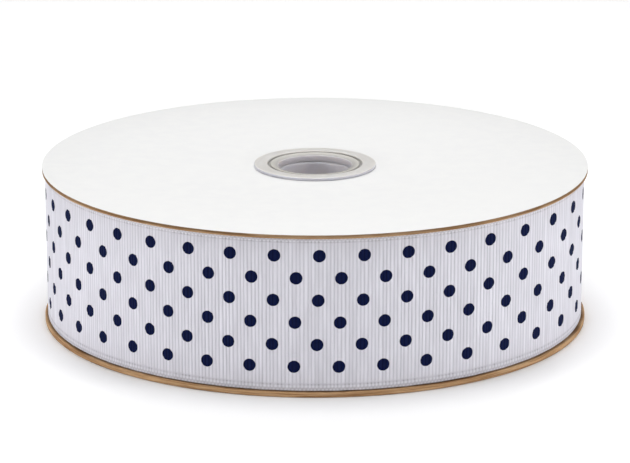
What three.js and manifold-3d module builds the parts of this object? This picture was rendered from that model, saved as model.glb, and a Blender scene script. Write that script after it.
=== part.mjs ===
// Roll of grosgrain ribbon on a card spool, lying flat on its lower disc.
// Millimetres, +Z up. The origin is on the spool's axis, at the plane that the lower disc rests on.

import * as THREE from 'three';
import { mergeVertices } from 'three/addons/utils/BufferGeometryUtils.js';
import Module from 'manifold-3d';

// Driving dimensions
const ribbonWidth = 38;
const ribbonThickness = 0.32;
const rollRadius = 69.8;
const ribCount = 436;
const ribDepth = 0.15;
const discRadius = 70.6;
const upperCardThickness = 1;
const lowerCardThickness = 1.35;
const gap = 0.3;

// The hub draws the discs in: flat out at the rim, and flat again under the collars
const dishDepth = 1.3;
const dishFlatRadius = 60;
const dishSteps = 4;

// Hub: collars outside the discs, a skirt on the upper half, a sleeve inside it on the lower half
const collarRadius = 15.8;
const collarThickness = 0.5;
const collarChamfer = 0.15;
const skirtRadius = 12.7;
const skirtWall = 1.4;
const skirtEnd = 14;
const boreRadius = 9.6;
const sleeveBoreRadius = 9.4;
const sleeveChamfer = 0.4;
const headDepth = 2.2;
const grooveRadius = 12.3;
const grooveDepth = 0.9;
const lipRadius = 11.2;
const lipFall = 0.4;
const lipDrop = 0.1;

const discSegments = 96;
const hubSegments = 48;
const weldDistance = 1e-5;

// Derived places
const overallHeight = lowerCardThickness + gap + ribbonWidth + gap + upperCardThickness;
const holeRadius = skirtRadius + gap;
const seatRadius = collarRadius + gap;
const seatHeight = overallHeight - dishDepth;
const collarUnder = seatHeight + gap;
const collarTop = collarUnder + collarThickness;
const headUnder = collarTop - headDepth;
const skirtBore = skirtRadius - skirtWall;
const sleeveRadius = skirtBore - gap;

const points = (pairs) => pairs.map(([r, z]) => new THREE.Vector2(r, z));

// Turn a profile of [radius, height] pairs upside down, about the spool's middle plane
const mirrored = (pairs) => pairs.map(([r, z]) => [r, overallHeight - z]).reverse();

// A ring about the spool's axis. The profile runs outwards below, up the outside and back inwards above.
function ring(profile, segments) {
  const geometry = new THREE.LatheGeometry(points([...profile, profile[0]]), segments);
  return geometry.rotateX(Math.PI / 2);
}

// Height of the upper disc's outer face: level near the rim, sinking smoothly to its seat under the collar
function faceHeight(r) {
  const t = THREE.MathUtils.smoothstep(r, seatRadius, dishFlatRadius);
  return overallHeight - dishDepth * (1 - t);
}

// Radii at which a dished face has points, from its hole to its edge
function dishRadii(inner, outer) {
  const steps = Array.from({ length: dishSteps + 1 }, (_, i) =>
    THREE.MathUtils.lerp(seatRadius, dishFlatRadius, i / dishSteps));
  return [inner, ...steps, outer];
}

// A disc's section, as on the upper one: a single card with its two faces parallel
function discProfile(thickness) {
  const radii = dishRadii(holeRadius, discRadius);
  const under = radii.map((r) => [r, faceHeight(r) - thickness]);
  const over = radii.map((r) => [r, faceHeight(r)]).reverse();
  return [...under, ...over];
}

// The room between the discs, less a small gap. It reaches out to their rims, past the roll, which trims it.
function windingProfile() {
  const radii = dishRadii(holeRadius, discRadius);
  const ceiling = (card) => radii.map((r) => [r, faceHeight(r) - card - gap]).reverse();
  return [...mirrored(ceiling(lowerCardThickness)), ...ceiling(upperCardThickness)];
}

// Radius of the roll over its ribs. It falls by one thickness in a turn, back to the ribbon's cut end behind.
function windingRadius(angle) {
  const turned = (angle + Math.PI) / (2 * Math.PI);
  return rollRadius + ribbonThickness * (0.5 - turned);
}

// The roll's outline, seen along the axis, with a crest and a valley for each rib. Angle 0 faces -Y.
function windingShape() {
  const steps = 2 * ribCount;
  const outline = [];
  for (let i = 0; i <= steps; i += 1) {
    const angle = Math.PI * (2 * i / steps - 1);
    const radius = windingRadius(angle) - (i % 2) * ribDepth;
    outline.push(new THREE.Vector2(radius * Math.sin(angle), -radius * Math.cos(angle)));
  }
  return new THREE.Shape(outline);
}

// The head that both hub halves share, as on the upper half: collar, groove, sloped lip and bore mouth
function headProfile() {
  const lipTop = collarTop - lipDrop;
  const lipFoot = lipTop - lipFall;
  return [
    [skirtRadius, collarUnder],
    [collarRadius, collarUnder],
    [collarRadius, collarTop - collarChamfer],
    [collarRadius - collarChamfer, collarTop],
    [grooveRadius, collarTop],
    [grooveRadius, collarTop - grooveDepth],
    [lipRadius, collarTop - grooveDepth],
    [lipRadius, lipTop],
    [boreRadius + collarChamfer, lipFoot],
    [boreRadius, lipFoot - collarChamfer],
    [boreRadius, headUnder],
  ];
}

// Upper half: the head on a skirt that passes through the disc and down inside the roll
function upperHubProfile() {
  return [
    [skirtBore, skirtEnd],
    [skirtRadius, skirtEnd],
    ...headProfile(),
    [skirtBore, headUnder],
  ];
}

// Lower half: the head below, a body up to the skirt's end, and a sleeve on up to just under the upper head
function lowerHubProfile() {
  const bodyTop = skirtEnd - gap;
  const sleeveTop = headUnder - gap;
  return [
    ...mirrored(headProfile()),
    [skirtRadius, bodyTop],
    [sleeveRadius, bodyTop],
    [sleeveRadius, sleeveTop],
    [sleeveBoreRadius + sleeveChamfer, sleeveTop],
    [sleeveBoreRadius, sleeveTop - sleeveChamfer],
    [sleeveBoreRadius, overallHeight - headUnder],
  ];
}

const wasm = await Module();
wasm.setup();

// A closed three.js geometry as a solid, and a solid as a geometry
function toSolid(geometry) {
  const bare = geometry.clone();
  bare.deleteAttribute('normal');
  bare.deleteAttribute('uv');
  const merged = mergeVertices(bare, weldDistance);
  return new wasm.Manifold(new wasm.Mesh({
    numProp: 3,
    vertProperties: new Float32Array(merged.attributes.position.array),
    triVerts: new Uint32Array(merged.index.array),
  }));
}

function toGeometry(solid) {
  const mesh = solid.getMesh();
  const geometry = new THREE.BufferGeometry();
  geometry.setAttribute('position', new THREE.BufferAttribute(mesh.vertProperties, 3));
  geometry.setIndex(new THREE.BufferAttribute(mesh.triVerts, 1));
  geometry.computeVertexNormals();
  return geometry;
}

// The wound ribbon: the ribbed outline through the whole height, kept where the discs leave room
function windingGeometry() {
  const column = new THREE.ExtrudeGeometry(windingShape(), { depth: overallHeight, bevelEnabled: false });
  const room = ring(windingProfile(), discSegments);
  return toGeometry(toSolid(column).intersect(toSolid(room)));
}

const ribbonCloth = new THREE.MeshStandardMaterial({ color: 0xd9d9e2, roughness: 0.75, metalness: 0 });
const coatedCard = new THREE.MeshStandardMaterial({ color: 0xf4f4f3, roughness: 0.55, metalness: 0 });
const frostedPlastic = new THREE.MeshStandardMaterial({ color: 0xd6d5d2, roughness: 0.4, metalness: 0 });

function piece(name, geometry, material) {
  const mesh = new THREE.Mesh(geometry, material);
  mesh.name = name;
  return mesh;
}

const spool = new THREE.Group();
spool.add(
  piece('ribbon_roll', windingGeometry(), ribbonCloth),
  piece('flange_top', ring(discProfile(upperCardThickness), discSegments), coatedCard),
  piece('flange_bottom', ring(mirrored(discProfile(lowerCardThickness)), discSegments), coatedCard.clone()),
  piece('hub_upper', ring(upperHubProfile(), hubSegments), frostedPlastic),
  piece('hub_lower', ring(lowerHubProfile(), hubSegments), frostedPlastic.clone()),
);

export default spool;
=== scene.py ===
# Looks for a wide roll of dotted grosgrain ribbon on a card spool, lying flat.
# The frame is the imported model's: +Z up along the spool's axis, -Y towards the camera.
# Lengths are in millimetres where no comment says otherwise, and the meshes are made in metres.
import math

import bpy
import numpy as np
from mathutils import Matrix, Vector


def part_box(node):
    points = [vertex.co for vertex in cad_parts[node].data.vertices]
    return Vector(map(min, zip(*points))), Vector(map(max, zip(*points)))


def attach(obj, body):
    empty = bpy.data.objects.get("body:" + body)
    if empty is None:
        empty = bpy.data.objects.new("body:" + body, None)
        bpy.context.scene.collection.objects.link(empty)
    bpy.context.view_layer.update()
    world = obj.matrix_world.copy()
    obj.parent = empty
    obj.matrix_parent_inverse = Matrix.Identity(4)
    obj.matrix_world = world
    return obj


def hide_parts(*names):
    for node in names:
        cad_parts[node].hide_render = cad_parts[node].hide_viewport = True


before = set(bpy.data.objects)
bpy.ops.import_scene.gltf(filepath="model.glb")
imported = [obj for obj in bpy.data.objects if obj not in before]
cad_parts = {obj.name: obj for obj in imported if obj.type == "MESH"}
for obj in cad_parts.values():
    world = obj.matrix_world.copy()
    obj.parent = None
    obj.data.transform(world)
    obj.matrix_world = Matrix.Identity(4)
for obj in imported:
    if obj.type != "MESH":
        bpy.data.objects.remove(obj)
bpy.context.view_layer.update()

MM = 0.001
SEED = 38

# Sizes read from the frame
roll_low, roll_high = (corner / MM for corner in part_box("ribbon_roll"))
upper_low, upper_high = (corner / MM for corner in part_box("flange_top"))
_, lower_high = (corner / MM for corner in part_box("flange_bottom"))
collar_low, collar_high = (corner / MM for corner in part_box("hub_upper"))
RIBBON_MIDDLE = (roll_high.z + roll_low.z) / 2
ROLL_RADIUS = (roll_high.x - roll_low.x) / 2
DISC_RADIUS = upper_high.x
OVERALL_HEIGHT = upper_high.z
COLLAR_RADIUS = collar_high.x
COLLAR_TOP = collar_high.z
SKIRT_END = collar_low.z

# Sizes that the model's source names too
RIBBON_THICKNESS = 0.32
RIB_DEPTH = 0.15
UPPER_CARD_THICKNESS = 1.0
GAP = 0.3
DISH_FLAT_RADIUS = 60.0
SKIRT_RADIUS = 12.7
SKIRT_WALL = 1.4
BORE_RADIUS = 9.6
SLEEVE_BORE_RADIUS = 9.4
SLEEVE_CHAMFER = 0.4
HEAD_DEPTH = 2.2
GROOVE_RADIUS = 12.3
LIP_FALL = 0.4
LIP_DROP = 0.1
HEAD_UNDER = COLLAR_TOP - HEAD_DEPTH
SKIRT_BORE = SKIRT_RADIUS - SKIRT_WALL
HOLE_RADIUS = SKIRT_RADIUS + GAP
SEAT_RADIUS = COLLAR_RADIUS + GAP
DISH_DEPTH = OVERALL_HEIGHT - UPPER_CARD_THICKNESS - upper_low.z
LOWER_CARD_THICKNESS = lower_high.z - DISH_DEPTH
SEAT_HEIGHT = OVERALL_HEIGHT - DISH_DEPTH

# Gaps of the model that would show are closed up here. Those between the two tubes in the bore and under the
# collars' rims shrink to a hairline, and the roll reaches further up and down, towards the discs.
HAIRLINE = 0.04
ROLL_REACH = 0.18
RIBBON_WIDTH = roll_high.z - roll_low.z + 2 * ROLL_REACH
RIBBON_FOOT = roll_low.z - ROLL_REACH

# The hub's groove is a little shallower and narrower here than in the model, with sloping walls
GROOVE_DEPTH = 0.5
GROOVE_DRAFT = 0.2
LIP_RADIUS = 11.5

# Each collar presses on its card with a rim of this width, and the sleeve's mouth is set back from the bore
RIM_WIDTH = 0.7
SLEEVE_SETBACK = 0.04

# Fillets of the cards and the hub
CARD_EDGE = 0.12
CARD_FOOT = 0.35
COLLAR_EDGE = 0.22
COLLAR_FOOT = 0.08
GROOVE_EDGE = 0.4
LIP_EDGE = 0.3
SKIRT_EDGE = 0.3
SOFT_CORNER = 0.15
SMALL_CORNER = 0.1
TIGHT_CORNER = 0.05
SEAM_CORNER = 0.03

# The ribbon's print: one pitch is the distance between two dots of a row, and each row's dots stand half a
# pitch from those of the next. Heights are measured up from the ribbon's lower edge.
RIBS_PER_PITCH = 12
PRINT_PHASE = -0.0633
PITCHES_PER_RADIAN = 6.397
DOT_ROWS = 6
TOP_ROW_HEIGHT = 34.03
ROW_PITCH = 5.574
DOT_HALF_WIDTH = 0.1425
DOT_HALF_HEIGHT = 1.56
PRINT_SLANT = -0.00235

# The print is stretched at the roll's sides, and sinks a little there
STRETCH_RIGHT = 0.285
STRETCH_LEFT = 0.155
STRETCH_RIGHT_START = math.radians(13.15)
STRETCH_LEFT_START = math.radians(-45)
SAG_RIGHT = 0.4
SAG_LEFT = 0.9

# The woven edges: the ribs end in a pinched row, with a band of small beads from there to the ribbon's edge.
# Rows of points lie at these shares of a band's width, counted from the ribbon's edge, and so does the split
# between the band's two rows of beads. The beads' foot is a share of their height.
SELVEDGE_BELOW = 1.6
SELVEDGE_ABOVE = 0.9
EDGE_ROWS = (0.05, 0.2, 0.4, 0.55, 0.7, 0.85, 1.0, 1.12, 1.4)
BEAD_SPLIT = 0.4
BEAD_FOOT = 0.15
EDGE_ROUNDING = 0.06
MIDDLE_ROWS = 2

# The ribs: how far their edges stray, as a share of a rib, and how high they stand, as shares of their depth.
# Their roundness runs from 0, flat on top, to 1, a sine. Their pitch is a mean.
RIB_JITTER = 0.07
RIB_HEIGHT = 0.88
RIB_HEIGHT_SPREAD = 0.1
LOWEST_RIB = 0.5
RIB_ROUNDNESS = 0.6
RIB_PITCH = 0.91

# The edges of the turns, and the threads that run round the roll
TURN_GROOVE = 0.08
THREAD_PITCH = 0.2
THREAD_DEPTH = 0.012

# How finely the pieces are made
PRINT_STEPS = 7200
RIB_SAMPLES = 6
TURN_SEGMENTS = 45
LATHE_SEGMENTS = 384
DISH_STEPS = 24
FILLET_STEPS = 4
SHARP_ANGLE = math.radians(40)

# How far below a card's outer face its white coating reaches
COATING = 0.08

# Colours as they show on a screen
# The cloth and the ink carry painted shade: darkest in the rib valleys, lightest on the crests
CLOTH_CREST = (233, 232, 240)
CLOTH_VALLEY_SHADED = (204, 202, 211)
INK_CREST = (10, 22, 64)
INK_VALLEY_SHADED = (4, 12, 48)
COATED_LIGHT = (223, 223, 222)
COATED_DARK = (220, 220, 220)
KRAFT_PALE = (206, 172, 134)
KRAFT_LIGHT = (188, 150, 110)
KRAFT_DARK = (140, 104, 70)
PLASTIC_LIGHT = (203, 199, 194)
PLASTIC_DARK = (195, 191, 186)
# The plastic with painted shade: on the collar's outer wall, in the groove, and down the lip to the bore's
# mouth
PLASTIC_RIM_SHADED = (186, 185, 193)
PLASTIC_GROOVE_SHADE = (148, 145, 141)
PLASTIC_LIP_SHADED = (180, 177, 170)
PLASTIC_MOUTH_SHADE = (152, 149, 145)
PLASTIC_BORE = (222, 218, 222)
FLOOR_COLOUR = (254, 254, 254)

# How soft and uneven a dot's outline is, as shares of its size
DOT_SOFTNESS = 0.02
DOT_UNEVENNESS = 0.06

# How far apart in the noise the ribs' tones are read: from rib to rib, and for each millimetre up
RIB_TONE_STEP = 3.7
RIB_TONE_DRIFT = 0.09

# A speck of painted shade between two ribs is dark within the first radius and ends at the second
SPECK_RADII = (0.1, 0.32)

# How far tones go up and down, and how much painted shade darkens the specks, the gaps between beads and the
# floor in front of the spool, as shares of their colour
RIB_TONE = 0.045
CLOTH_CLOUD = 0.015
SPECK_SHADE = 0.3
BEAD_SHADE = 0.1
FLOOR_SHADOW = 0.09

# How light the cards' inner faces stay at the roll under painted shade, and the bore at its ends, as shares
# of their colour
LEDGE_SHADE_TONE = 0.5
BORE_END_TONE = 0.8

# Painted light and shade up the cards' cut edges, the upper one lighter at its foot and darker above, the
# lower one darker at its foot: from one height to another, and from one share to another
UPPER_EDGE_SHADING = (OVERALL_HEIGHT - UPPER_CARD_THICKNESS, OVERALL_HEIGHT - 0.5, 1.05, 0.62)
LOWER_EDGE_SHADING = (0.15, 0.5, 0.9, 1.12)

# The studio, in metres and watts. Each lamp has a place, a width and height, and a power.
LAMPS = {
    "softbox_above": ((0, 0, 1.2), (1.5, 1.5), 7.3),
    "softbox_behind": ((0, 0.7, 0.8), (0.8, 0.8), 3.7),
    "softbox_back": ((0, 1.2, 0.5), (1.2, 0.8), 1.5),
    "softbox_near": ((0, -0.06, 0.34), (0.2, 0.2), 0.54),
    "softbox_left": ((-0.9, -0.4, 0.2), (0.5, 0.3), 4.3),
    "softbox_right": ((0.9, -0.4, 0.2), (0.5, 0.3), 4.35),
}

# Where the floor glows with painted light, and where a painted shadow darkens it in front of the spool: from
# one distance to another, in millimetres, and from one share to another
LIT_BESIDE = (45, 75, 0.0, 0.06)
LIT_FAR = (100, 400, 0.0, 0.13)
LIT_FARTHER = (400, 1600, 0.0, 0.5)
SHADOW_NEAR = (70, 85, 1.0, 0.0)
SHADOW_IN_FRONT = (-60, -30, 1.0, 0.0)

WORLD_STRENGTH = 0.01
FLOOR_HALF = 2.5
CAMERA_TARGET = (0.00002, 0, 0.0219)
CAMERA_DISTANCE = 0.8411
CAMERA_ELEVATION = math.radians(15.804)
SENSOR_WIDTH_MM = 36
LENS_MM = 184.1


def smoothstep(x, low, high):
    """0 below low, 1 above high, and a smooth rise in between."""
    t = np.clip((x - low) / (high - low), 0, 1)
    return t * t * (3 - 2 * t)


def dish(radius):
    """How far a disc is drawn in: not at all near the rim, and all the way at its seat under the collar."""
    return DISH_DEPTH * (1 - smoothstep(radius, SEAT_RADIUS, DISH_FLAT_RADIUS))


def face_height(radius):
    """Height of the upper disc's outer face."""
    return OVERALL_HEIGHT - dish(radius)


def new_piece(name, vertices_mm, faces):
    """A mesh object from points in millimetres and faces, shaded smooth but for its sharp edges."""
    mesh = bpy.data.meshes.new(name)
    mesh.from_pydata((np.asarray(vertices_mm) * MM).tolist(), [], faces)
    mesh.shade_smooth()
    mesh.set_sharp_from_angle(angle=SHARP_ANGLE)
    piece = bpy.data.objects.new(name, mesh)
    bpy.context.scene.collection.objects.link(piece)
    return piece


def stands_for(piece, node):
    """The piece takes the place of a node of the model and moves with its body."""
    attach(piece, "root")
    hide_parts(node)


def point_vectors(piece, name, *columns):
    """Keeps a vector for each point of a piece's mesh, for its material to read."""
    attribute = piece.data.attributes.new(name, "FLOAT_VECTOR", "POINT")
    attribute.data.foreach_set("vector", np.stack(columns, axis=-1).astype(np.float32).ravel())


# Shapes

def rounded(corners):
    """A closed section from corners (radius, height, fillet): a fillet of 0 keeps a corner sharp."""
    outline = []
    for i, (radius, height, fillet) in enumerate(corners):
        corner = Vector((radius, height))
        if fillet == 0:
            outline.append(corner)
            continue
        before = (Vector(corners[i - 1][:2]) - corner).normalized()
        after = (Vector(corners[(i + 1) % len(corners)][:2]) - corner).normalized()
        reach = fillet / math.tan(before.angle(after) / 2)
        for t in np.linspace(0, 1, FILLET_STEPS + 1):
            outline.append(corner + before * reach * (1 - t) ** 2 + after * reach * t * t)
    return np.array([point[:] for point in outline])


def upside_down(section):
    """A section turned over about the spool's middle plane."""
    turned = section[::-1].copy()
    turned[:, 1] = OVERALL_HEIGHT - turned[:, 1]
    return turned


def lathe(name, section):
    """A ring turned about the spool's axis. Its closed section runs outwards below, then up the outside."""
    angles = np.linspace(0, 2 * np.pi, LATHE_SEGMENTS, endpoint=False)
    radius, height = section.T
    points = np.stack([
        np.outer(np.cos(angles), radius),
        np.outer(np.sin(angles), radius),
        np.tile(height, (LATHE_SEGMENTS, 1)),
    ], axis=-1).reshape(-1, 3)
    count = len(section)
    faces = []
    for j in range(LATHE_SEGMENTS):
        here, there = j * count, (j + 1) % LATHE_SEGMENTS * count
        for i in range(count):
            k = (i + 1) % count
            faces.append((here + i, there + i, there + k, here + k))
    return new_piece(name, points, faces)


def disc_section(thickness, outer_edge):
    """A dished card as the upper disc lies, with a fillet of its own along the edges of its outer face."""
    radii = np.linspace(SEAT_RADIUS, DISH_FLAT_RADIUS, DISH_STEPS + 1)
    under = [(r, face_height(r) - thickness, 0) for r in radii]
    over = [(r, face_height(r), 0) for r in radii[::-1]]
    return rounded([
        (HOLE_RADIUS, SEAT_HEIGHT - thickness, CARD_EDGE),
        *under,
        (DISC_RADIUS, OVERALL_HEIGHT - thickness, CARD_EDGE),
        (DISC_RADIUS, OVERALL_HEIGHT, outer_edge),
        *over,
        (HOLE_RADIUS, SEAT_HEIGHT, outer_edge),
    ])


def head_corners():
    """The hub's head: a collar with a rim that presses on the card, a groove, a sloped lip and the bore."""
    collar_under = SEAT_HEIGHT + GAP
    rim_under = SEAT_HEIGHT + HAIRLINE
    groove_floor = COLLAR_TOP - GROOVE_DEPTH
    lip_top = COLLAR_TOP - LIP_DROP
    return [
        (SKIRT_RADIUS, collar_under, SMALL_CORNER),
        (COLLAR_RADIUS - RIM_WIDTH, collar_under, TIGHT_CORNER),
        (COLLAR_RADIUS - RIM_WIDTH, rim_under, TIGHT_CORNER),
        (COLLAR_RADIUS, rim_under, COLLAR_FOOT),
        (COLLAR_RADIUS, COLLAR_TOP, COLLAR_EDGE),
        (GROOVE_RADIUS, COLLAR_TOP, GROOVE_EDGE),
        (GROOVE_RADIUS - GROOVE_DRAFT, groove_floor, SOFT_CORNER),
        (LIP_RADIUS + GROOVE_DRAFT, groove_floor, SOFT_CORNER),
        (LIP_RADIUS, lip_top, LIP_EDGE),
        (BORE_RADIUS, lip_top - LIP_FALL, SOFT_CORNER),
        (BORE_RADIUS, HEAD_UNDER, TIGHT_CORNER),
    ]


def upper_hub_section():
    """The upper half: the head on a skirt that goes down inside the roll."""
    return rounded([
        (SKIRT_BORE, SKIRT_END, SOFT_CORNER),
        (SKIRT_RADIUS, SKIRT_END, SKIRT_EDGE),
        *head_corners(),
        (SKIRT_BORE, HEAD_UNDER, SMALL_CORNER),
    ])


def lower_hub_section():
    """The lower half: the head below, a body up to the skirt's end, and a sleeve on up inside the skirt."""
    sleeve_radius = SKIRT_BORE - GAP
    sleeve_top = HEAD_UNDER - HAIRLINE
    body_top = SKIRT_END - GAP
    head = [(radius, OVERALL_HEIGHT - height, fillet) for radius, height, fillet in reversed(head_corners())]
    return rounded([
        *head,
        (SKIRT_RADIUS, body_top, SMALL_CORNER),
        (sleeve_radius, body_top, SMALL_CORNER),
        (sleeve_radius, sleeve_top, SOFT_CORNER),
        (BORE_RADIUS + SLEEVE_SETBACK, sleeve_top, SEAM_CORNER),
        (SLEEVE_BORE_RADIUS, sleeve_top - SLEEVE_CHAMFER, SMALL_CORNER),
        (SLEEVE_BORE_RADIUS, OVERALL_HEIGHT - HEAD_UNDER, 0),
    ])


def print_table():
    """How far along the print each angle of the roll lies, in pitches. Angle 0 faces the camera."""
    angle = np.linspace(-np.pi, np.pi, PRINT_STEPS + 1)
    right = np.interp(angle, [STRETCH_RIGHT_START, np.pi / 2, np.pi], [0, STRETCH_RIGHT, 0])
    left = np.interp(angle, [-np.pi, -np.pi / 2, STRETCH_LEFT_START], [0, STRETCH_LEFT, 0])
    rate = PITCHES_PER_RADIAN * (1 - right - left)
    step = angle[1] - angle[0]
    along = np.concatenate([[0], np.cumsum((rate[1:] + rate[:-1]) / 2 * step)])
    return angle, along + PRINT_PHASE - np.interp(0, angle, along)


def print_sag(angle):
    """How far the print sinks, in millimetres: most at the two sides."""
    swell = np.clip(np.cos(2 * (np.abs(angle) - np.pi / 2)), 0, 1) ** 2
    return swell * np.where(angle < 0, SAG_LEFT, SAG_RIGHT)


def winding_radius(angle):
    """Radius of the outermost turn: it falls by one thickness in a turn, from the cut end behind."""
    turned = (angle + np.pi) / (2 * np.pi)
    return ROLL_RADIUS + RIBBON_THICKNESS * (0.5 - turned)


def rib_columns(draw):
    """Columns of points round the roll: their angle, place in the print, rib number and relief."""
    angles, along = print_table()
    length = along[-1] - along[0]
    ribs = round(length * RIBS_PER_PITCH)
    edges = np.arange(ribs + 1) + 0.0
    edges[1:-1] += draw.normal(0, RIB_JITTER, ribs - 1)
    rib = np.arange(ribs * RIB_SAMPLES + 1) / RIB_SAMPLES
    place = along[0] + np.interp(rib, np.arange(ribs + 1), edges) / ribs * length
    height = np.clip(draw.normal(RIB_HEIGHT, RIB_HEIGHT_SPREAD, ribs + 1), LOWEST_RIB, 1)
    relief = np.abs(np.sin(np.pi * (rib % 1))) ** RIB_ROUNDNESS * height[rib.astype(int)]
    return np.interp(place, along, angles), place, rib, relief


def wall_rows():
    """Height of each row of points up the roll's side, and its distance from the ribbon's edge, in bands."""
    shares = np.array(EDGE_ROWS)
    below = SELVEDGE_BELOW * shares
    above = RIBBON_WIDTH - SELVEDGE_ABOVE * shares[::-1]
    middle = np.linspace(below[-1], above[0], MIDDLE_ROWS + 2)[1:-1]
    across = np.concatenate([shares, np.full(MIDDLE_ROWS, shares[-1]), shares[::-1]])
    return np.concatenate([below, middle, above]), across


def cloth_relief(across, rib, relief):
    """Relief of one row, from 0 to 1: the ribs, beyond them a long bead for each, and at the edge short beads
    between those."""
    if across < BEAD_SPLIT:
        along_bead = across / BEAD_SPLIT
        beads = np.abs(np.cos(np.pi * rib))
    else:
        along_bead = min(across - BEAD_SPLIT, 1 - BEAD_SPLIT) / (1 - BEAD_SPLIT)
        beads = np.abs(np.sin(np.pi * rib))
    beaded = BEAD_FOOT + (1 - BEAD_FOOT) * math.sin(math.pi * along_bead) * beads
    ribbed = smoothstep(across, 1.0, EDGE_ROWS[-1])
    return beaded * (1 - ribbed) + relief * ribbed


def on_roll(radius, angle, height):
    """Points at an angle round the spool's axis, counted from the camera's side."""
    return np.stack([radius * np.sin(angle), -radius * np.cos(angle), height], axis=-1)


def spiral_end(add_points, outer, angle, top):
    """Rows of points over one end of the roll, from its rim inwards: a crest for each turn, and a valley
    between two. From the second on, a row starts where the one a whole turn further out ended."""
    turns = int((ROLL_RADIUS - HOLE_RADIUS) / RIBBON_THICKNESS)
    sign = 1 if top else -1
    lines = [outer]
    for k in range(1, 2 * turns + 1):
        radius = winding_radius(angle) - k * RIBBON_THICKNESS / 2
        edge = RIBBON_WIDTH / 2 - dish(radius) - (0 if k % 2 else TURN_GROOVE)
        points = on_roll(radius, angle, RIBBON_MIDDLE + sign * edge)
        if k == 1:
            lines.append(add_points(points))
            continue
        start = lines[k - 2][-1]
        lines.append(np.concatenate([[start], add_points(points[1:])]))
    return lines


def flip(faces, turned):
    """The faces, wound the other way if turned."""
    return [tuple(reversed(face)) for face in faces] if turned else faces


def strip(lower, upper, turned=False):
    """Quads between two rows of points."""
    rows = np.stack([lower[:-1], lower[1:], upper[1:], upper[:-1]], axis=-1)
    return flip(rows.tolist(), turned)


def fan_strip(outer, coarse, inner, turned=False):
    """Triangles between a fine row and a coarser one inside it, whose points stand at some columns of it."""
    faces = []
    for s in range(len(coarse) - 1):
        first, last = coarse[s], coarse[s + 1]
        middle = (first + last) // 2
        faces += [(outer[j], outer[j + 1], inner[s]) for j in range(first, middle)]
        faces.append((outer[middle], inner[s + 1], inner[s]))
        faces += [(outer[j], outer[j + 1], inner[s + 1]) for j in range(middle, last)]
    return flip([tuple(int(i) for i in face) for face in faces], turned)


def wound_ribbon():
    """The whole roll as one closed mesh: its outer turn, the cut end behind, and the edges of every turn."""
    angle, place, rib, relief = rib_columns(np.random.default_rng(SEED))
    coarse = np.linspace(0, len(angle) - 1, TURN_SEGMENTS + 1).round().astype(int)
    blocks = []

    def add_points(points):
        first = sum(len(block) for block in blocks)
        blocks.append(points)
        return np.arange(first, first + len(points))

    heights, acrosses = wall_rows()
    reliefs = np.array([cloth_relief(across, rib, relief) for across in acrosses])
    wall = []
    for height, across, row_relief in zip(heights, acrosses, reliefs):
        corner = EDGE_ROUNDING * (1 - smoothstep(across, 0, EDGE_ROWS[1]))
        radius = winding_radius(angle) - corner - RIB_DEPTH * (1 - row_relief)
        wall.append(add_points(on_roll(radius, angle, np.full_like(angle, RIBBON_FOOT + height))))
    top = spiral_end(add_points, wall[-1], angle[coarse], top=True)
    bottom = spiral_end(add_points, wall[0], angle[coarse], top=False)

    cut_end = [(lower[-1], lower[0], upper[0], upper[-1]) for lower, upper in zip(wall, wall[1:])]
    faces = []
    for lower, upper in zip(wall, wall[1:]):
        faces += strip(lower, upper)
    for lines, turned in ((top, False), (bottom, True)):
        faces += fan_strip(lines[0], coarse, lines[1], turned)
        for outer, inner in zip(lines[1:], lines[2:]):
            faces += strip(outer, inner, turned)
        cut_end += flip([(lines[0][-1], lines[0][0], lines[1][0])], turned)
        faces += flip([(lines[-1][0], lines[-1][-1], lines[-2][-1])], turned)
    faces += strip(top[-1], bottom[-1])
    faces.append((bottom[-1][0], bottom[-1][-1], top[-1][-1], top[-1][0]))
    points = np.concatenate(blocks)
    piece = new_piece("wound_ribbon", points, [tuple(map(int, face)) for face in faces + cut_end])
    for face in piece.data.polygons[len(faces):]:
        face.material_index = 1

    # What the material reads: the place in the print, and the rib, height and relief of the cloth.
    # The points of the roll's ends follow those of its side, and are plain.
    ends_height = np.where(points[reliefs.size:, 2] > RIBBON_MIDDLE, RIBBON_WIDTH, 0)
    blank = np.zeros(len(ends_height))

    def everywhere(side, ends):
        return np.concatenate([np.broadcast_to(side, reliefs.shape).ravel(), ends])

    height = heights[:, None]
    slanted = place + PRINT_SLANT * (height - RIBBON_WIDTH / 2)
    sunk = height + print_sag(angle)
    point_vectors(piece, "print",
                  everywhere(slanted, blank), everywhere(sunk, ends_height), everywhere(0, blank))
    point_vectors(piece, "cloth",
                  everywhere(rib, blank), everywhere(height, ends_height), everywhere(reliefs, blank + 1))
    stands_for(piece, "ribbon_roll")
    return piece


# Materials

def colour(red, green, blue):
    """A colour seen on a screen, from 0 to 255, as the shader's linear one."""
    screen = np.array([red, green, blue]) / 255
    linear = np.where(screen <= 0.04045, screen / 12.92, ((screen + 0.055) / 1.055) ** 2.4)
    return (*linear.tolist(), 1)


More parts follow.
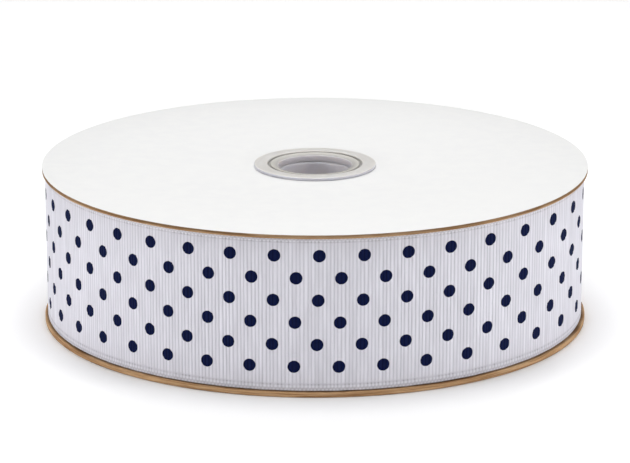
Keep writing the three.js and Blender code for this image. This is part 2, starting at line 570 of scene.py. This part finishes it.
class Graph:
    """A material and its nodes, with a short name for each kind that the finishes use."""

    def __init__(self, name, **constants):
        self.material = bpy.data.materials.new(name)
        self.material.use_nodes = True
        self.tree = self.material.node_tree
        self.shader = self.tree.nodes["Principled BSDF"]
        for socket, value in constants.items():
            self.plug(self.shader.inputs[socket.replace("_", " ")], value)

    def plug(self, socket, value):
        """Sets a socket to a number or colour, or links another node's output to it."""
        if isinstance(value, bpy.types.NodeSocket):
            self.tree.links.new(value, socket)
        else:
            socket.default_value = value

    def node(self, kind, output=0, settings=None, **inputs):
        """A new node with its settings and inputs, as one of its outputs."""
        node = self.tree.nodes.new("ShaderNode" + kind)
        for key, value in (settings or {}).items():
            setattr(node, key, value)
        for socket, value in inputs.items():
            self.plug(node.inputs[socket.replace("_", " ")], value)
        return node.outputs[output]

    def math(self, operation, *values):
        node = self.tree.nodes.new("ShaderNodeMath")
        node.operation = operation
        for socket, value in zip(node.inputs, values):
            self.plug(socket, value)
        return node.outputs[0]

    def mix(self, share, first, second, blend="MIX"):
        node = self.tree.nodes.new("ShaderNodeMix")
        node.data_type = "RGBA"
        node.blend_type = blend
        for socket, value in zip((node.inputs[0], node.inputs[6], node.inputs[7]), (share, first, second)):
            self.plug(socket, value)
        return node.outputs[2]

    def shaded(self, base, shade):
        """A colour made lighter or darker by a number near 1."""
        grey = self.node("CombineXYZ", 0, None, X=shade, Y=shade, Z=shade)
        return self.mix(1.0, base, grey, "MULTIPLY")

    def darkened(self, base, mask, share):
        """A colour made darker by a share where the mask is 1."""
        return self.shaded(base, self.math("SUBTRACT", 1.0, self.math("MULTIPLY", mask, share)))

    def split(self, vector):
        return self.node("SeparateXYZ", "X", None, Vector=vector).node.outputs

    def parts(self, name):
        """The three numbers of a vector that the mesh keeps for each point."""
        return self.split(self.node("Attribute", "Vector", {"attribute_name": name}))

    def millimetres(self):
        """Where a point of the piece is: x, y and z in millimetres."""
        return self.split(self.place(1 / MM, 1 / MM, 1 / MM))

    def place(self, x=1, y=1, z=1):
        """Where a point of the piece is, in metres, times a scale along each axis."""
        node = self.tree.nodes.new("ShaderNodeVectorMath")
        node.operation = "MULTIPLY"
        self.plug(node.inputs[0], self.node("TexCoord", "Object"))
        node.inputs[1].default_value = (x, y, z)
        return node.outputs[0]

    def noise(self, vector, scale=1.0, detail=2.0, roughness=0.5):
        inputs = {"Vector": vector, "Scale": scale, "Detail": detail, "Roughness": roughness}
        return self.node("TexNoise", 0, None, **inputs)

    def ramp(self, value, low, high, start=0.0, end=1.0):
        """Start where the value is below low, end where it is above high, and a smooth blend in between."""
        inputs = {"Value": value, "From_Min": low, "From_Max": high, "To_Min": start, "To_Max": end}
        return self.node("MapRange", 0, {"interpolation_type": "SMOOTHSTEP"}, **inputs)

    def length(self, *sides):
        """How far apart two points are, from how far apart they are along each of two axes."""
        squares = [self.math("MULTIPLY", side, side) for side in sides]
        return self.math("SQRT", self.math("ADD", *squares))

    def bump(self, height, depth_mm, below=None):
        """A relief, laid over another one below it if there is one."""
        inputs = {"Height": height, "Distance": depth_mm * MM, "Strength": 1.0}
        if below is not None:
            inputs["Normal"] = below
        return self.node("Bump", 0, None, **inputs)

    def finish(self, base, normal=None):
        """The material, with its colour and its relief."""
        self.plug(self.shader.inputs["Base Color"], base)
        if normal is not None:
            self.plug(self.shader.inputs["Normal"], normal)
        return self.material


def dot_ink(g):
    """1 inside a printed dot and 0 outside: staggered rows of dots with slightly uneven outlines."""
    along, height, _ = g.parts("print")
    row = g.math("ROUND", g.math("DIVIDE", g.math("SUBTRACT", TOP_ROW_HEIGHT, height), ROW_PITCH))
    row = g.math("MINIMUM", g.math("MAXIMUM", row, 0), DOT_ROWS - 1)
    above = g.math("ADD", g.math("SUBTRACT", height, TOP_ROW_HEIGHT), g.math("MULTIPLY", row, ROW_PITCH))
    shifted = g.math("SUBTRACT", along, g.math("MULTIPLY", g.math("MODULO", row, 2), 0.5))
    beside = g.math("SUBTRACT", shifted, g.math("ROUND", shifted))
    distance = g.length(g.math("DIVIDE", beside, DOT_HALF_WIDTH), g.math("DIVIDE", above, DOT_HALF_HEIGHT))
    wander = g.math("SUBTRACT", g.noise(g.place(), scale=1800), 0.5)
    uneven = g.math("ADD", distance, g.math("MULTIPLY", wander, DOT_UNEVENNESS))
    return g.ramp(uneven, 1 - DOT_SOFTNESS, 1 + DOT_SOFTNESS, 1.0, 0.0)


def rib_shade(g, rib, height):
    """How light each rib is: a tone of its own, drifting slowly up and down it."""
    own_place = g.math("MULTIPLY", g.math("FLOOR", rib), RIB_TONE_STEP)
    drift = g.math("MULTIPLY", height, RIB_TONE_DRIFT)
    tone = g.noise(g.node("CombineXYZ", 0, None, X=own_place, Y=drift), detail=1.0)
    return g.ramp(tone, 0.25, 0.75, 1 - RIB_TONE, 1 + RIB_TONE)


def inside_selvedges(g, height):
    """How far inside its woven edges a place on the ribbon is, in millimetres, and below 0 on them."""
    return g.math("MINIMUM", g.math("SUBTRACT", height, SELVEDGE_BELOW),
                  g.math("SUBTRACT", RIBBON_WIDTH - SELVEDGE_ABOVE, height))


def pinch_specks(g, rib, inwards):
    """Painted shade: small dark specks in the deep gaps of the pinched rows, one between each two ribs, some
    fainter than others.
    """
    beside = g.math("MULTIPLY", g.math("SUBTRACT", rib, g.math("ROUND", rib)), RIB_PITCH)
    speck = g.ramp(g.length(beside, inwards), *SPECK_RADII, 1.0, 0.0)
    depth = g.node("TexWhiteNoise", "Value", {"noise_dimensions": "1D"}, W=g.math("ROUND", rib))
    return g.math("MULTIPLY", speck, g.ramp(depth, 0.0, 1.0, 0.1, 1.0))


def ribbon_finish():
    """White ribbed cloth with navy dots printed on it, with painted shade in the rib valleys, between the
    beads and in a row of specks where the ribs end.
    """
    g = Graph("ribbed_ribbon", Roughness=0.8, Specular_IOR_Level=0.08, Sheen_Weight=0.02, Sheen_Roughness=0.5)
    rib, height, relief = g.parts("cloth")
    # Painted shade by the cloth's relief: darkest in the rib valleys, lightest on the crests
    white = g.mix(relief, colour(*CLOTH_VALLEY_SHADED), colour(*CLOTH_CREST))
    cloud = g.noise(g.place(), scale=60, detail=3)
    cloudy = g.ramp(cloud, 0.2, 0.8, 1 - CLOTH_CLOUD, 1 + CLOTH_CLOUD)
    white = g.shaded(white, g.math("MULTIPLY", rib_shade(g, rib, height), cloudy))
    inwards = inside_selvedges(g, height)
    # Painted shade in the specks of the pinched rows
    white = g.darkened(white, pinch_specks(g, rib, inwards), SPECK_SHADE)
    # Painted shade between the beads of the woven edges
    on_selvedge = g.ramp(inwards, -0.2, 0.0, 1.0, 0.0)
    shade_between_beads = g.math("MULTIPLY", on_selvedge, g.math("SUBTRACT", 1.0, relief))
    white = g.darkened(white, shade_between_beads, BEAD_SHADE)
    # The ink has the same painted shade in the rib valleys
    navy = g.mix(relief, colour(*INK_VALLEY_SHADED), colour(*INK_CREST))

    # Threads run round the roll, over one rib and under the next
    up = g.math("MULTIPLY", height, math.tau / THREAD_PITCH)
    over_under = g.math("SINE", g.math("ADD", up, g.math("MULTIPLY", rib, math.pi)))
    return g.finish(g.mix(dot_ink(g), white, navy), g.bump(over_under, THREAD_DEPTH))


def cut_end_finish():
    """The ribbon's cut end: the same white, with the ends of its threads side by side."""
    g = Graph("cut_ribbon", Roughness=0.85, Specular_IOR_Level=0.1)
    threads = g.noise(g.place(1500, 1500, 5000))
    # Thread ends of random tone, between the valleys' shaded colour and the crests' colour
    base = g.mix(threads, colour(*CLOTH_VALLEY_SHADED), colour(*CLOTH_CREST))
    return g.finish(base, g.bump(threads, depth_mm=0.04))


def coated_finish():
    """The card's outer face: smooth white paper, a little mottled."""
    g = Graph("white_coated_card", Roughness=0.55, Specular_IOR_Level=0.35)
    mottle = g.noise(g.place(), scale=220, detail=4, roughness=0.6)
    cloud = g.noise(g.place(), scale=18)
    grain = g.noise(g.place(), scale=900, detail=3, roughness=0.6)
    base = g.mix(g.ramp(mottle, 0.3, 0.7), colour(*COATED_DARK), colour(*COATED_LIGHT))
    base = g.mix(g.ramp(cloud, 0.3, 0.7, 0.0, 0.5), base, colour(*COATED_LIGHT))
    return g.finish(base, g.bump(grain, depth_mm=0.006))


def kraft_finish(name, edge_shading):
    """Bare brown board with fibres, layered along its cut edge, with painted shade on its inner face close to
    the roll and painted light and shade up its cut edge.
    """
    g = Graph(name, Roughness=0.85, Specular_IOR_Level=0.15)
    layers = g.noise(g.place(60, 60, 3200), detail=3, roughness=0.6)
    fibres = g.noise(g.place(900, 900, 2500), detail=4, roughness=0.65)
    patches = g.noise(g.place(90, 90, 900))
    base = g.mix(g.ramp(layers, 0.36, 0.62), colour(*KRAFT_DARK), colour(*KRAFT_LIGHT))
    base = g.mix(g.ramp(fibres, 0.35, 0.75, 0.0, 0.3), base, colour(*KRAFT_DARK))
    base = g.mix(g.ramp(patches, 0.45, 0.7, 0.0, 0.6), base, colour(*KRAFT_PALE))
    x, y, height = g.millimetres()
    # Painted shade on the inner face close to the roll
    base = g.shaded(base, g.ramp(g.length(x, y), ROLL_RADIUS + 0.15, DISC_RADIUS - 0.1, LEDGE_SHADE_TONE, 1.0))
    # Painted light and shade up the cut edge
    base = g.shaded(base, g.ramp(height, *edge_shading))
    return g.finish(base, g.bump(fibres, depth_mm=0.05, below=g.bump(layers, depth_mm=0.06)))


def plastic_finish():
    """Natural plastic, frosted and slightly cloudy, with painted shade on the collar's outer wall, in the
    groove and down the lip into the bore.
    """
    g = Graph("frosted_plastic", Roughness=0.3, Specular_IOR_Level=0.5, Subsurface_Weight=0.6,
              Subsurface_Radius=(1.0, 0.9, 0.8), Subsurface_Scale=0.0025)
    x, y, height = g.millimetres()
    radius = g.length(x, y)

    def inside(edge, before, after):
        """1 inside a radius and 0 outside it, blended over a little before it and after it."""
        return g.ramp(radius, edge - before, edge + after, 1.0, 0.0)

    cloud = g.noise(g.place(), scale=160, detail=3)
    base = g.mix(g.ramp(cloud, 0.3, 0.7), colour(*PLASTIC_DARK), colour(*PLASTIC_LIGHT))
    # Painted shade on the collar's outer wall, in the groove, and down the lip to the bore's mouth
    base = g.mix(g.ramp(radius, COLLAR_RADIUS - 0.15, COLLAR_RADIUS - 0.02), base, colour(*PLASTIC_RIM_SHADED))
    base = g.mix(inside(GROOVE_RADIUS, 0.2, 0.3), base, colour(*PLASTIC_GROOVE_SHADE))
    across_lip = g.ramp(radius, BORE_RADIUS + 0.1, LIP_RADIUS - 0.1)
    lip = g.mix(across_lip, colour(*PLASTIC_MOUTH_SHADE), colour(*PLASTIC_LIP_SHADED))
    base = g.mix(inside(LIP_RADIUS, 0.1, 0.1), base, lip)

    # The bore is darker at both ends, beyond the seam
    from_middle = g.math("ABSOLUTE", g.math("SUBTRACT", height, OVERALL_HEIGHT / 2))
    seam = HEAD_UNDER - OVERALL_HEIGHT / 2
    bore = g.shaded(colour(*PLASTIC_BORE), g.ramp(from_middle, seam - 0.6, seam, 1.0, BORE_END_TONE))
    base = g.mix(inside(BORE_RADIUS, 0, 0.15), base, bore)
    return g.finish(base, g.bump(g.noise(g.place(), scale=2600), depth_mm=0.008))


def floor_finish():
    """White paper with a painted shadow close in front of the spool, glowing with painted light beside it and
    further away.
    """
    g = Graph("pale_floor", Roughness=0.9, Specular_IOR_Level=0.0, Emission_Color=(1, 1, 1, 1))
    x, y, _ = g.millimetres()
    radius = g.length(x, y)
    beside = g.ramp(g.math("ABSOLUTE", x), *LIT_BESIDE)
    away = g.math("ADD", g.ramp(radius, *LIT_FAR), g.ramp(radius, *LIT_FARTHER))
    # Painted light: the floor glows beside the spool and further away
    g.plug(g.shader.inputs["Emission Strength"], g.math("MAXIMUM", beside, away))
    # Painted shadow close in front of the spool
    painted_shadow = g.math("MULTIPLY", g.ramp(radius, *SHADOW_NEAR), g.ramp(y, *SHADOW_IN_FRONT))
    return g.finish(g.darkened(colour(*FLOOR_COLOUR), painted_shadow, FLOOR_SHADOW))


def make_card(name, section, node, coated, kraft, top):
    """A disc with its white coating on its outer face and bare board on its edge and inner face."""
    piece = lathe(name, section)
    piece.data.materials.append(kraft)
    piece.data.materials.append(coated)
    for face in piece.data.polygons:
        x, y, z = face.center / MM
        height = z if top else OVERALL_HEIGHT - z
        face.material_index = int(height > face_height(math.hypot(x, y)) - COATING)
    stands_for(piece, node)


def make_hub(name, section, node, plastic):
    piece = lathe(name, section)
    piece.data.materials.append(plastic)
    stands_for(piece, node)


# Studio

def make_floor():
    corners = [(x * FLOOR_HALF, y * FLOOR_HALF, 0) for x, y in ((-1, -1), (1, -1), (1, 1), (-1, 1))]
    mesh = bpy.data.meshes.new("floor")
    mesh.from_pydata(corners, [], [(0, 1, 2, 3)])
    floor = bpy.data.objects.new("floor", mesh)
    mesh.materials.append(floor_finish())
    bpy.context.scene.collection.objects.link(floor)


def softbox(name, place, size, power):
    """A soft lamp turned towards the middle of the spool."""
    light = bpy.data.lights.new(name, "AREA")
    light.shape = "RECTANGLE"
    light.size, light.size_y = size
    light.energy = power
    holder = bpy.data.objects.new(name, light)
    holder.location = place
    holder.rotation_mode = "QUATERNION"
    middle = Vector((0, 0, RIBBON_MIDDLE * MM))
    holder.rotation_quaternion = (middle - Vector(place)).to_track_quat("-Z", "Y")
    bpy.context.scene.collection.objects.link(holder)


def make_lights():
    """The lamps and a faint even light, shown with plain colours."""
    for name, lamp in LAMPS.items():
        softbox(name, *lamp)
    world = bpy.data.worlds.new("studio")
    world.use_nodes = True
    background = world.node_tree.nodes["Background"]
    background.inputs["Color"].default_value = (1.0, 1.0, 1.0, 1)
    background.inputs["Strength"].default_value = WORLD_STRENGTH
    bpy.context.scene.world = world
    bpy.context.scene.view_settings.view_transform = "Standard"


def make_camera():
    """The photo's view: level with no roll, looking down at the spool."""
    data = bpy.data.cameras.new("camera")
    data.sensor_width = SENSOR_WIDTH_MM
    data.lens = LENS_MM
    camera = bpy.data.objects.new("camera", data)
    back = Vector((0, -math.cos(CAMERA_ELEVATION), math.sin(CAMERA_ELEVATION)))
    camera.location = Vector(CAMERA_TARGET) + back * CAMERA_DISTANCE
    camera.rotation_mode = "QUATERNION"
    camera.rotation_quaternion = (-back).to_track_quat("-Z", "Y")
    bpy.context.scene.collection.objects.link(camera)
    bpy.context.scene.camera = camera


make_camera()
make_lights()
make_floor()

ribbon = wound_ribbon()
ribbon.data.materials.append(ribbon_finish())
ribbon.data.materials.append(cut_end_finish())
coated, plastic = coated_finish(), plastic_finish()
upper_kraft = kraft_finish("brown_kraft_upper", UPPER_EDGE_SHADING)
lower_kraft = kraft_finish("brown_kraft_lower", LOWER_EDGE_SHADING)
upper_disc = disc_section(UPPER_CARD_THICKNESS, CARD_EDGE)
lower_disc = upside_down(disc_section(LOWER_CARD_THICKNESS, CARD_FOOT))
make_card("card_top", upper_disc, "flange_top", coated, upper_kraft, top=True)
make_card("card_bottom", lower_disc, "flange_bottom", coated, lower_kraft, top=False)
make_hub("hub_top", upper_hub_section(), "hub_upper", plastic)
make_hub("hub_bottom", lower_hub_section(), "hub_lower", plastic)
